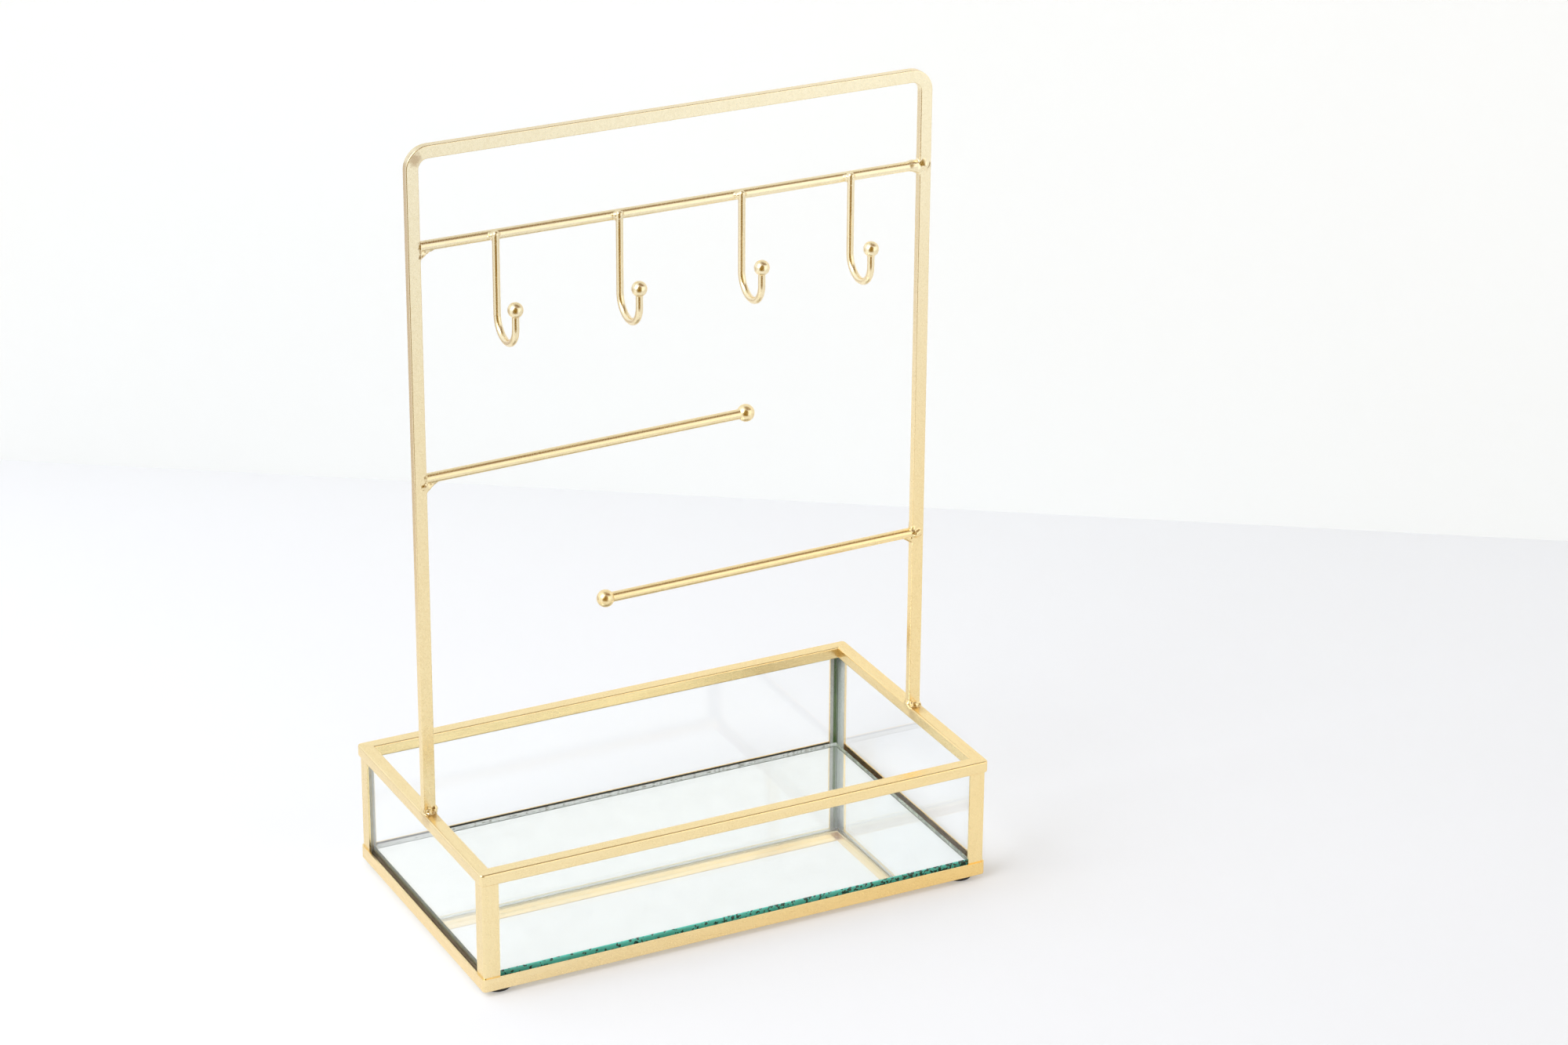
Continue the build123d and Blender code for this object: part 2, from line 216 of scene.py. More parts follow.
# %% Table and wall
TABLE_PLAN = [(0.36, -0.75), (2.4, -1.79), (2.4, 2.4), (-0.10, 2.4), (-0.10, 0.90), (-0.30, 0.22),
              (-0.92, -0.09)]
WALL_HEIGHT = 1.6
WALL_LEFT = (-0.215, 0.6535)
WALL_RIGHT = (1.10, -0.2115)
STAGE_ALBEDO = rgba(0.80, 0.80, 0.80)
TABLE_TINT = rgba(0.935, 0.962, 1.0)
WALL_TINT = rgba(0.955, 0.995, 1.02)
TABLE_OWN_LIGHT = 0.28
WALL_OWN_LIGHT = 0.29
# Painted light and shade: brighter to the right, and on the wall darker higher up.
TABLE_LIGHT_TO_RIGHT = 1.01
WALL_LIGHT_TO_RIGHT = 1.10
RIGHT_FROM, RIGHT_TO = -0.1, 0.6
PAINTED_SHADE_ABOVE = 0.84
DIM_FROM, DIM_TO = 0.40, 0.72
MOTTLE_SIZE = 0.25
MOTTLE_LEAST = 0.992


def plane_mesh(name, corners):
    """One flat face through its corners."""
    mesh = bpy.data.meshes.new(name)
    mesh.from_pydata(corners, [], [tuple(range(len(corners)))])
    obj = add_object(name, mesh)
    return obj


def stage_material(name, tint, own_light, painted_light_to_right):
    """Matt paint that shows the camera, metal and glass a little more light than it gets."""
    material, tree, out, place = new_material(name)
    parts = put(tree, "SeparateXYZ", {0: place}).outputs
    # Painted light to the right and painted shade higher up the wall, times a random mottle.
    painted_light_rightward = eased(tree, parts["X"], RIGHT_FROM, RIGHT_TO, 1.0, painted_light_to_right)
    clouds = noise(tree, place, MOTTLE_SIZE, detail=3.0)
    mottle = eased(tree, clouds, 0.3, 0.7, MOTTLE_LEAST, 1.0)
    above = eased(tree, parts["Z"], DIM_FROM, DIM_TO, 1.0, PAINTED_SHADE_ABOVE)
    level = maths(tree, "MULTIPLY", maths(tree, "MULTIPLY", painted_light_rightward, mottle), above)
    colour = mixed(tree, 1.0, tint, level, "MULTIPLY")
    dull = mixed(tree, 1.0, colour, STAGE_ALBEDO, "MULTIPLY")
    paint = put(tree, "BsdfDiffuse", {"Color": dull}).outputs[0]
    path = put(tree, "LightPath").outputs
    seen = maths(tree, "MAXIMUM", path["Is Camera Ray"], path["Is Glossy Ray"])
    seen = maths(tree, "MAXIMUM", seen, path["Is Transmission Ray"])
    strength = maths(tree, "MULTIPLY", seen, own_light)
    glow = put(tree, "Emission", {"Color": colour, "Strength": strength}).outputs[0]
    lit = put(tree, "AddShader", {0: paint, 1: glow}).outputs[0]
    behind = put(tree, "NewGeometry").outputs["Backfacing"]
    clear = put(tree, "BsdfTransparent").outputs[0]
    shown = put(tree, "MixShader", {0: behind, 1: lit, 2: clear}).outputs[0]
    fill(out, {"Surface": shown})
    return material


table = plane_mesh("table_top", [(*corner, 0) for corner in TABLE_PLAN])
table.data.materials.append(
    stage_material("table_paint", TABLE_TINT, TABLE_OWN_LIGHT, TABLE_LIGHT_TO_RIGHT)
)
wall = plane_mesh(
    "wall",
    [(*WALL_LEFT, 0), (*WALL_RIGHT, 0), (*WALL_RIGHT, WALL_HEIGHT), (*WALL_LEFT, WALL_HEIGHT)],
)
wall.data.materials.append(stage_material("wall_paint", WALL_TINT, WALL_OWN_LIGHT, WALL_LIGHT_TO_RIGHT))
for plane in (table, wall):
    print(plane.name, "faces", tuple(round(v, 2) for v in plane.data.polygons[0].normal))

# %% [markdown]
# The studio's light.
# Polished and satin metal shows whatever is round it, so the surroundings decide how the gold
# looks. The room is white, but for four places that the metal tells of. A darker ceiling draws
# the brown band along the upper side of every rod and the dark line in every rounded edge. A brown
# end of the room, above and below the table's front, draws the line down each hook and the spot on
# each ball. A dim corner at the left back greys the left side of the legs, and a bright side at
# the front right lights the faces that look that way. They stay where they are when the stand is
# seen from another side. Each is a cone round a direction, given by the cosines of its edge and
# its core. One broad soft lamp gives the shadow.

# %% World and lamp
ROOM_WHITE = rgba(1.04, 1.09, 1.19)
DARK_CEILING = rgba(0.33, 0.22, 0.13)
CEILING_TOWARD, CEILING_CONE = (0.416, -0.02, 0.909), (0.72, 0.88)
BRIGHT_SIDE = rgba(1.35, 1.33, 1.28)
BRIGHT_TOWARD, BRIGHT_CONE = (0.46, -0.85, 0.26), (0.86, 0.96)
BROWN_END = rgba(0.30, 0.17, 0.01)
END_TOWARD, END_CONE = (-0.416, -0.814, 0.404), (0.74, 0.86)
END_BELOW, END_BELOW_CONE = (-0.455, -0.891, 0.0), (0.78, 0.87)
END_FROM_RISE, END_FULL_RISE = 0.25, 0.0
DIM_CORNER = rgba(0.72, 0.66, 0.64)
CORNER_BELOW, CORNER_CONE = (-0.455, 0.891, 0.0), (0.71, 0.84)
CORNER_FROM_RISE, CORNER_FULL_RISE = 0.04, -0.04
SHOWN_ABOVE = rgba(0.965, 0.985, 0.975)
SHOWN_BELOW = rgba(0.95, 0.965, 0.98)
HORIZON = 0.01
LAMP_PLACE = (-1.3, -0.25, 1.25)
LAMP_SIZE = 1.2
LAMP_POWER = 14.6
LAMP_AIM = 0.4

world = bpy.data.worlds.new("white_studio")
world.use_nodes = True
bpy.context.scene.world = world
room = world.node_tree
room.nodes.clear()


def closeness(way, place, cone):
    """0 outside and 1 inside a cone round a fixed direction."""
    return eased(room, vectors(room, "DOT_PRODUCT", way, place, result="Value"), *cone)


toward = put(room, "TexCoord").outputs["Generated"]
rise = put(room, "SeparateXYZ", {0: toward}).outputs["Z"]
level = vectors(room, "NORMALIZE", vectors(room, "MULTIPLY", toward, (1, 1, 0)))
end_below = maths(
    room, "MULTIPLY", closeness(level, END_BELOW, END_BELOW_CONE),
    eased(room, rise, END_FROM_RISE, END_FULL_RISE),
)
end = maths(room, "MAXIMUM", closeness(toward, END_TOWARD, END_CONE), end_below)
corner = maths(
    room, "MULTIPLY", closeness(level, CORNER_BELOW, CORNER_CONE),
    eased(room, rise, CORNER_FROM_RISE, CORNER_FULL_RISE),
)
ceiling = closeness(toward, CEILING_TOWARD, CEILING_CONE)
bright = closeness(toward, BRIGHT_TOWARD, BRIGHT_CONE)
seen_room = mixed(room, ceiling, ROOM_WHITE, DARK_CEILING)
seen_room = mixed(room, bright, seen_room, BRIGHT_SIDE)
seen_room = mixed(room, end, seen_room, BROWN_END)
seen_room = mixed(room, corner, seen_room, DIM_CORNER)
plain = mixed(room, eased(room, rise, -HORIZON, HORIZON), SHOWN_BELOW, SHOWN_ABOVE)
for_camera = put(room, "LightPath").outputs["Is Camera Ray"]
background = put(room, "Background", {"Color": mixed(room, for_camera, seen_room, plain)})
put(room, "OutputWorld", {"Surface": background.outputs[0]})

lamp_data = bpy.data.lights.new("soft_lamp", "AREA")
lamp_data.shape = "SQUARE"
lamp_data.size = LAMP_SIZE
lamp_data.energy = LAMP_POWER
lamp = add_object("soft_lamp", lamp_data)
lamp.location = LAMP_PLACE
aim = cad_box[0].lerp(cad_box[1], LAMP_AIM) - lamp.location
lamp.rotation_euler = aim.to_track_quat("-Z", "Y").to_euler()
print("lamp", LAMP_POWER, "W at", LAMP_PLACE)

# %% [markdown]
# Effects that several finishes share.
# Sprayed gold is never even: it has fine flakes, faint runs along the bar and slow clouds. The
# same three, at other sizes, break up braze, rubber, board and glue, so they are one shader group.
# A second group makes a soft ragged spot round a point, for paint that the torch browned. A third
# makes the chips of a cut glass edge. Written into each material, they would have to be repeated.

# %% Shader groups
COAT_SHARES = (0.50, 0.35, 0.15)
CHIP_BEND = 1.2 * MM


def uneven_coat():
    """Three noises added up: flakes, runs stretched by Stretch, and clouds four times as large."""
    group, given, out = new_group(
        "uneven_coat",
        {"Place": "Vector", "Stretch": "Vector", "Flake Size": "Float", "Run Size": "Float"},
        {"Shade": "Float", "Height": "Float"},
    )
    place, run_size = given["Place"], given["Run Size"]
    flakes = noise(group, place, given["Flake Size"])
    runs = noise(group, vectors(group, "MULTIPLY", place, given["Stretch"]), run_size, detail=3.0)
    clouds = noise(group, place, maths(group, "MULTIPLY", run_size, 4.0), detail=1.0)
    parts = [
        maths(group, "MULTIPLY", part, share)
        for part, share in zip((flakes, runs, clouds), COAT_SHARES)
    ]
    total = maths(group, "ADD", maths(group, "ADD", parts[0], parts[1]), parts[2])
    fill(out, {"Shade": eased(group, total, 0.36, 0.64), "Height": flakes})
    return group


def ragged_spot():
    """1 near Centre and 0 past Radius, with an edge broken up by noise."""
    group, given, out = new_group(
        "ragged_spot",
        {"Place": "Vector", "Centre": "Vector", "Radius": "Float", "Ragged": "Float"},
        {"Mask": "Float"},
    )
    away = vectors(group, "DISTANCE", given["Place"], given["Centre"], result="Value")
    share = maths(group, "DIVIDE", away, given["Radius"])
    lump_size = maths(group, "DIVIDE", given["Radius"], 2.5)
    uneven = maths(group, "SUBTRACT", noise(group, given["Place"], lump_size, detail=3.0), 0.5)
    shift = maths(group, "MULTIPLY", uneven, given["Ragged"])
    fill(out, {"Mask": eased(group, maths(group, "ADD", share, shift), 1.0, 0.25)})
    return group


def chipped_edge():
    """Chips are some cells, as many as Amount says, of a bent random pattern; Cloud is slow."""
    group, given, out = new_group(
        "chipped_edge",
        {"Place": "Vector", "Chip Size": "Float", "Amount": "Float"},
        {"Chips": "Float", "Cloud": "Float"},
    )
    place, size = given["Place"], given["Chip Size"]
    bent = noise(group, place, size, result="Color")
    pushed = vectors(group, "ADD", place, vectors(group, "MULTIPLY", bent, (CHIP_BEND,) * 3))
    scale = maths(group, "DIVIDE", 1.0, size)
    cells = put(group, "TexVoronoi", {"Vector": pushed, "Scale": scale})
    lone = put(group, "SeparateColor", {0: cells.outputs["Color"]}).outputs[0]
    limit = maths(group, "SUBTRACT", 1.0, given["Amount"])
    chips = maths(group, "GREATER_THAN", lone, limit)
    cloud = noise(group, place, maths(group, "MULTIPLY", size, 9.0), detail=3.0)
    fill(out, {"Chips": chips, "Cloud": eased(group, cloud, 0.35, 0.65)})
    return group


UNEVEN_COAT = uneven_coat()
RAGGED_SPOT = ragged_spot()
CHIPPED_EDGE = chipped_edge()


def coated(tree, place, stretch, flake, run):
    """The uneven coat's shade and height in a material's tree."""
    sockets = {"Place": place, "Stretch": stretch, "Flake Size": flake, "Run Size": run}
    return place_group(tree, UNEVEN_COAT, sockets)


print("groups", [group.name for group in bpy.data.node_groups])


# %% [markdown]
# Gold paint.
# The steel is sprayed with a satin gold paint: a metallic finish, rough enough to blur what it
# mirrors. Its colour also holds painted light: painted shade and reflection make it deeper on
# the tray, with an orange painted reflection along the bottom rails, painted light makes it paler
# up the hoop, and a warm painted reflection makes it a little redder to the right. The runs follow
# the bar, so each direction of bar has its own version, and heat from the torch has browned the
# paint beside some welds, which are spots at known places.

# %% Gold paint
# Painted light: deeper low on the tray, paler up the hoop, warmer to the right; the lowest colours
# add an orange painted reflection along the bottom rails.
LOW_LEFT = rgba(0.94, 0.78, 0.45)
LOW_RIGHT = rgba(0.99, 0.79, 0.42)
LOWEST_REFLECTION_LEFT = rgba(0.94, 0.765, 0.44)
LOWEST_REFLECTION_RIGHT = rgba(0.99, 0.715, 0.30)
HIGH_LEFT = rgba(0.89, 0.785, 0.54)
HIGH_RIGHT = rgba(1.0, 0.89, 0.62)
DEEP_SHARE = rgba(0.965, 0.95, 0.91)
FADE_FROM = 0.10
FADE_TO = 0.36
LOWEST_FROM = 10.0 * MM
LOWEST_TO = 8.5 * MM
SIDE_REACH = 0.13
GOLD_SCORCHED = rgba(0.36, 0.20, 0.08)
GOLD_EDGE = rgba(0.97, 0.92, 0.90)
GOLD_ROUGHNESS = 0.23
GOLD_ROUGHEST = 0.29
GOLD_GRAIN = 0.012 * MM
ALONG = 0.06

rail_low, rail_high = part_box("hook_rail")
hoop_low, hoop_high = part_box("hoop_frame")
rim_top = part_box("top_rail_front")[1].z
leg_front = hoop_low.y
BEND_MARK = (rail_low.x - 1.5 * MM, leg_front, hoop_high.z - 5.5 * MM)
LEFT_FOOT_MARK = (rail_low.x - 4.0 * MM, leg_front - 3.0 * MM, rim_top)
RIGHT_FOOT_MARK = (rail_high.x + 2.0 * MM, leg_front - 3.0 * MM, rim_top)
HOOP_MARKS = ((BEND_MARK, 4.2 * MM, 0.55),)
RIM_MARKS = ((LEFT_FOOT_MARK, 8.0 * MM, 0.35), (RIGHT_FOOT_MARK, 7.0 * MM, 0.3))


def gold_coat_and_painted_light():
    """Colour of the gold paint with its painted light, for a place and a shade between 0 and 1."""
    group, given, out = new_group(
        "gold_coat_and_painted_light", {"Place": "Vector", "Shade": "Float"}, {"Color": "Color"}
    )
    parts = put(group, "SeparateXYZ", {0: given["Place"]}).outputs
    # Painted light: deeper low down, paler high up, warmer to the right, orange on the lowest bars.
    painted_light_to_right = eased(group, parts["X"], -SIDE_REACH, SIDE_REACH)
    low = mixed(group, painted_light_to_right, LOW_LEFT, LOW_RIGHT)
    high = mixed(group, painted_light_to_right, HIGH_LEFT, HIGH_RIGHT)
    coat = mixed(group, eased(group, parts["Z"], FADE_FROM, FADE_TO), low, high)
    lowest_reflection = mixed(group, painted_light_to_right, LOWEST_REFLECTION_LEFT, LOWEST_REFLECTION_RIGHT)
    coat = mixed(group, eased(group, parts["Z"], LOWEST_FROM, LOWEST_TO), coat, lowest_reflection)
    shade = mixed(group, given["Shade"], DEEP_SHARE, rgba(1, 1, 1))
    fill(out, {"Color": mixed(group, 1.0, coat, shade, "MULTIPLY")})
    return group


GOLD_COAT_AND_PAINTED_LIGHT = gold_coat_and_painted_light()


def end_gold(tree, out, colour, roughness, bump):
    """Ends a gold finish as metal whose mirror is a little paler where it is seen edge on."""
    sockets = {"Base Color": colour, "Roughness": roughness, "Metallic": 1.0, "Normal": bump}
    end_with(tree, out, {**sockets, "Specular Tint": GOLD_EDGE})


def gold_paint(name, stretch, marks=()):
    """Satin metallic paint; marks are (centre, radius, strength) of browned places."""
    material, tree, out, place = new_material(name)
    coat = coated(tree, place, stretch, flake=0.45 * MM, run=1.6 * MM)
    colour = place_group(tree, GOLD_COAT_AND_PAINTED_LIGHT, {"Place": place, "Shade": coat["Shade"]})["Color"]
    for centre, radius, strength in marks:
        sockets = {"Place": place, "Centre": centre, "Radius": radius, "Ragged": 0.9}
        spot = place_group(tree, RAGGED_SPOT, sockets)["Mask"]
        colour = mixed(tree, maths(tree, "MULTIPLY", spot, strength), colour, GOLD_SCORCHED)
    roughness = eased(tree, coat["Shade"], 0.0, 1.0, GOLD_ROUGHEST, GOLD_ROUGHNESS)
    bump = bumped(tree, coat["Height"], strength=0.09, distance=GOLD_GRAIN)
    end_gold(tree, out, colour, roughness, bump)
    return material


gold_across = gold_paint("gold_paint_across", (ALONG, 1, 1))
gold_deep = gold_paint("gold_paint_front_to_back", (1, ALONG, 1), RIM_MARKS)
gold_upright = gold_paint("gold_paint_upright", (1, 1, ALONG))
gold_hoop = gold_paint("gold_paint_hoop", (1, 1, 1), HOOP_MARKS)
gold_ball = gold_paint("gold_paint_ball", (1, 1, 1))
print("gold paints ready")

# %% [markdown]
# Paint goes on the steel nodes.
# Each node keeps its exact shape and only takes a material. The direction of its bar picks the
# version of the paint, which a short table of name beginnings says. The first that fits counts.

# %% Paint the steel
NODE_FINISH = (
    (gold_ball, ("hook_ball", "upper_arm_ball", "lower_arm_ball")),
    (gold_across, ("hook_rail", "upper_arm_rod", "lower_arm_rod")),
    (gold_across, ("top_rail_front", "top_rail_back", "bottom_rail_front", "bottom_rail_back")),
    (gold_deep, ("top_rail_", "bottom_rail_")),
    (gold_hoop, ("hoop_frame",)),
    (gold_upright, ("hook_", "corner_post_")),
)


def dress(node, material):
    """Gives a node one material for all its faces."""
    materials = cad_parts[node].data.materials
    materials.clear()
    materials.append(material)


painted = 0
for node in sorted(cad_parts):
    finish = next((paint for paint, starts in NODE_FINISH if node.startswith(starts)), None)
    if finish is not None:
        dress(node, finish)
        painted += 1
print("painted nodes", painted)

# %% [markdown]
# Rubber feet and the board.
# The feet are black moulded rubber, dull and faintly mottled. The board under the mirror is plain
# fibre board that only a view from below shows. Neither needs a new effect: both are the coat
# group again, with larger flakes for the fibres.

# %% Rubber and board
def dull_finish(name, dark, light, flake, roughness, bump_height):
    """A matt finish that changes between two colours with the coat's shade."""
    material, tree, out, place = new_material(name)
    coat = coated(tree, place, (1, 0.3, 1), flake, run=4 * flake)
    colour = mixed(tree, coat["Shade"], dark, light)
    rough = eased(tree, coat["Shade"], 0.0, 1.0, roughness, roughness + 0.12)
    bump = bumped(tree, coat["Height"], strength=0.6, distance=bump_height)
    end_with(tree, out, {"Base Color": colour, "Roughness": rough, "Normal": bump})
    return material


rubber = dull_finish(
    "black_rubber", rgba(0.012, 0.012, 0.013), rgba(0.03, 0.03, 0.032),
    flake=0.5 * MM, roughness=0.55, bump_height=0.05 * MM,
)
fibre_board = dull_finish(
    "fibre_board", rgba(0.16, 0.11, 0.07), rgba(0.30, 0.23, 0.15),
    flake=1.2 * MM, roughness=0.75, bump_height=0.1 * MM,
)
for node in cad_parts:
    if node.startswith("rubber_foot_"):
        dress(node, rubber)
dress("base_board", fibre_board)
print("rubber and board ready")

# %% [markdown]
# Meshes from arrays.
# New pieces could be built face by face, but rows of points worked out with numpy and joined row
# to row say it in fewer lines. The ends are closed too, a bead's with one pole point and a
# plate's with one flat face, so that each skin is a closed body. A number for each face says which
# finish it has.

# %% Skin helper
def ring_quads(first, rings, columns):
    """Quads between neighbouring rings of points; first is the number of the first point."""
    ring = np.arange(columns)
    after = (ring + 1) % columns
    starts = first + np.arange(rings - 1)[:, None] * columns
    return np.stack(
        [starts + ring, starts + after, starts + columns + after, starts + columns + ring], axis=-1
    ).reshape(-1, 4)


def skin_faces(rows, columns):
    """Quads between neighbouring rows of a ring grid, and fans from a pole at each end.

    Points are numbered: first pole, then rows times columns, then last pole.
    """
    ring = np.arange(columns)
    after = (ring + 1) % columns
    last = 1 + (rows - 1) * columns
    first_fan = np.stack([np.zeros(columns, int), 1 + after, 1 + ring], axis=-1)
    last_fan = np.stack([np.full(columns, last + columns), last + ring, last + after], axis=-1)
    return ring_quads(1, rows, columns), first_fan, last_fan


def make_piece(name, skins, materials, marks_on="POINT", replaced=()):
    """One object of closed skins: (points, faces, material numbers, marks of points or faces)."""
    points, faces, finishes, values = [], [], [], []
    for skin_points, skin_polygons, skin_finishes, skin_values in skins:
        offset = sum(len(group) for group in points)
        points.append(skin_points)
        faces.extend((polygon + offset).tolist() for polygon in skin_polygons)
        finishes.extend(skin_finishes)
        values.append(skin_values)
    mesh = bpy.data.meshes.new(name)
    mesh.from_pydata(np.concatenate(points).tolist(), [], faces)
    mesh.polygons.foreach_set("material_index", np.array(finishes, np.int32))
    mesh.polygons.foreach_set("use_smooth", np.full(len(faces), marks_on == "POINT"))
    mark = mesh.attributes.new("mark", "FLOAT", marks_on)
    mark.data.foreach_set("value", np.concatenate(values).astype(np.float32))
    for material in materials:
        mesh.materials.append(material)
    mesh.update()
    piece = add_object(name, mesh)
    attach(piece, BODY)
    if replaced:
        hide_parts(*replaced)
    print(name, len(mesh.vertices), "points", len(faces), "faces")
    return piece


# %% [markdown]
# Weld beads.
# Each joint was brazed by hand, so no two look alike: the metal flows into the corner as a hollow
# fillet, sags, and leaves lumps and pits where the torch left it. Sculpting them by hand can't be
# repeated. Here the distance to the rod and to the leg is blended into one soft distance, which
# draws the fillet by itself. Lumps are added, pits are cut, and a star of rays from inside the
# bead finds where that distance is nought. Away from the corner the skin dives just under the rod
# and the leg, so it joins them without a step.

# %% Distances
def to_capsule(points, start, end, radius):
    """Distance to a round bar between two points."""
    start, end = np.asarray(start), np.asarray(end)
    axis = end - start
    share = np.clip(((points - start) @ axis) / (axis @ axis), 0, 1)
    return np.linalg.norm(points - start - share[..., None] * axis, axis=-1) - radius


def to_block(points, centre, half):
    """Distance to a box: beyond its faces, or the least depth inside."""
    past = np.abs(points - np.asarray(centre)) - np.asarray(half)
    outside = np.linalg.norm(np.maximum(past, 0), axis=-1)
    return outside + np.minimum(past.max(axis=-1), 0)


def to_ball(points, centre, radius):
    """Distance to a ball."""
    return np.linalg.norm(points - np.asarray(centre), axis=-1) - radius


def soft_least(first, second, blend):
    """The lesser distance, rounded off by a quarter of blend where the two are alike."""
    near = np.maximum(blend - np.abs(first - second), 0) / blend
    return np.minimum(first, second) - near**2 * blend / 4


def soft_most(first, second, blend):
    """The greater distance, rounded off the same way."""
    return -soft_least(-first, -second, blend)


def ripples(points, length, seed, waves=14):
    """Uneven surface, mostly from -1 to 1: sine waves of about one length in random directions."""
    draw = np.random.default_rng(seed)
    ways = draw.normal(size=(waves, 3))
    ways /= np.linalg.norm(ways, axis=1)[:, None]
    turns = draw.uniform(0, 2 * np.pi, waves)
    lengths = length * draw.uniform(0.6, 1.4, waves)
    waved = points @ (2 * np.pi * ways / lengths[:, None]).T + turns
    return np.sin(waved).sum(axis=-1) * math.sqrt(2 / waves) / 2


# %% Rays that find a bead's skin
SEARCH_STEPS = 90
SEARCH_FROM = 0.02


def star_skin(centre, distance, reach, rows=90, columns=120):
    """Closed skin where distance is nought along rays from centre.

    The rays are a globe's grid: row angle a from the top, column angle b round it.
    """
    down = np.linspace(0, np.pi, rows + 2)
    around = np.linspace(0, 2 * np.pi, columns, endpoint=False)
    a, b = np.meshgrid(down[1:-1], around, indexing="ij")
    rays = np.stack([np.sin(a) * np.cos(b), np.sin(a) * np.sin(b), np.cos(a)], axis=-1)
    rays = np.concatenate([[[0, 0, 1]], rays.reshape(-1, 3), [[0, 0, -1]]])
    radii = np.linspace(SEARCH_FROM * reach, reach, SEARCH_STEPS)
    field = distance(centre + rays[:, None, :] * radii[None, :, None])
    past = field > 0
    index = np.where(past.any(axis=1), past.argmax(axis=1), SEARCH_STEPS - 1)
    index = np.maximum(index, 1)
    line = np.arange(len(rays))
    inner, outer = field[line, index - 1], field[line, index]
    share = np.clip(-inner / np.where(outer == inner, 1, outer - inner), 0, 1)
    radius = radii[index - 1] + share * (radii[1] - radii[0])
    points = centre + rays * radius[:, None]
    faces = [row[::-1] for part in skin_faces(rows, columns) for row in part]
    return points, faces


# %% [markdown]
# Beads where a rod meets a leg.
# Each is written in the joint's own directions: along the rod from the leg's face, forward and
# up. Lumps and pits are few and listed one by one, each a centre and a radius in millimetres. A pit
# also darkens the skin round it, because dirt and shadow stay there.

# %% Parts of a bead, in millimetres
LEG_WIDTH = (hoop_high.x - rail_high.x) / MM
LEG_DEPTH = (hoop_high.y - hoop_low.y) / MM
UNDER_SKIN = 0.05
PIT_BLEND = 0.25
CREASE_FADE = 0.45


def joint_points(root, side, points):
    """Points in the joint's directions, in millimetres: inward from the leg, forward, up."""
    local = (points - root) / MM
    return np.stack([-side * local[..., 0], -local[..., 1], local[..., 2]], axis=-1)


def to_leg(local, middle, half_height):
    """Distance to a length of the hoop's flat bar."""
    half = (LEG_WIDTH / 2 - UNDER_SKIN, LEG_DEPTH / 2 - UNDER_SKIN, half_height)
    return to_block(local, middle, half)


def with_lumps(total, local, lumps, blend):
    """Adds soft lumps, each a centre and a radius."""
    for centre, radius in lumps:
        total = soft_least(total, to_ball(local, centre, radius), blend)
    return total


def with_pits(total, local, pits):
    """Cuts small pits, each a centre and a radius."""
    for centre, radius in pits:
        total = soft_most(total, -to_ball(local, centre, radius), PIT_BLEND)
    return total


def kept_within(total, local, middle, stretch, blend):
    """Ends the bead at an egg round middle, whose half sizes are stretch."""
    bound = np.linalg.norm((local - middle) / np.array(stretch), axis=-1) - 1
    return soft_most(total, bound * min(stretch), blend)


def pit_darkness(local, pits):
    """1 in a pit, and 0 from CREASE_FADE off its rim."""
    dark = np.zeros(len(local))
    for centre, radius in pits:
        rim = to_ball(local, centre, radius)
        dark = np.maximum(dark, np.clip(1 - rim / CREASE_FADE, 0, 1))
    return dark


print("leg", round(LEG_WIDTH, 2), "by", round(LEG_DEPTH, 2), "mm")

# %% Rod beads
ROD_LENGTH = 14
LEG_REACH = 12
LEG_BACK = 0.1
LUMP_BLEND = 1.2
RIPPLE_LENGTH = 2.8
RIPPLE_HEIGHT = 0.10
RIPPLE_REACH = 4.5
RIPPLE_CORE = 1.3
BOUND_MIDDLE = (1.2, 0, -0.6)


def rod_bead(root, side, rod_radius, lean, fillet, stretch, lumps, pits, seed):
    """Skin and darkness of a bead; lean is the rod's rise over its run."""
    root = np.asarray(root)

    def distance(points):
        local = joint_points(root, side, points)
        rod_end = (ROD_LENGTH, 0, ROD_LENGTH * lean)
        rod = to_capsule(local, (rod_radius, 0, 0), rod_end, rod_radius - UNDER_SKIN)
        leg = to_leg(local, (-LEG_WIDTH / 2, 0, 0), LEG_REACH)
        total = with_lumps(soft_least(rod, leg, fillet), local, lumps, LUMP_BLEND)
        near = np.clip(RIPPLE_CORE - np.linalg.norm(local, axis=-1) / RIPPLE_REACH, 0, 1)
        total = total - RIPPLE_HEIGHT * ripples(local, RIPPLE_LENGTH, seed) * near
        total = with_pits(total, local, pits)
        total = soft_most(total, -local[..., 0] - LEG_WIDTH - LEG_BACK, blend=0.2)
        return kept_within(total, local, BOUND_MIDDLE, stretch, blend=0.3)

    points, faces = star_skin(root, distance, reach=12 * MM)
    dark = pit_darkness(joint_points(root, side, points), pits)
    return points, faces, [0] * len(faces), dark


# %% Weld metal
WELD_PIT = rgba(0.42, 0.27, 0.12)


def weld_finish():
    """Gold paint over rough braze; the mark attribute darkens pits."""
    material, tree, out, place = new_material("painted_braze")
    coat = coated(tree, place, (1, 1, 1), flake=0.6 * MM, run=1.3 * MM)
    colour = place_group(tree, GOLD_COAT_AND_PAINTED_LIGHT, {"Place": place, "Shade": coat["Shade"]})["Color"]
    pit = put(tree, "Attribute", attribute_name="mark").outputs["Fac"]
    colour = mixed(tree, eased(tree, pit, 0.15, 0.95), colour, WELD_PIT)
    roughness = eased(tree, coat["Shade"], 0.0, 1.0, 0.38, 0.2)
    bump = bumped(tree, coat["Height"], strength=0.5, distance=0.05 * MM)
    end_gold(tree, out, colour, roughness, bump)
    return material


braze = weld_finish()
print("weld metal ready")

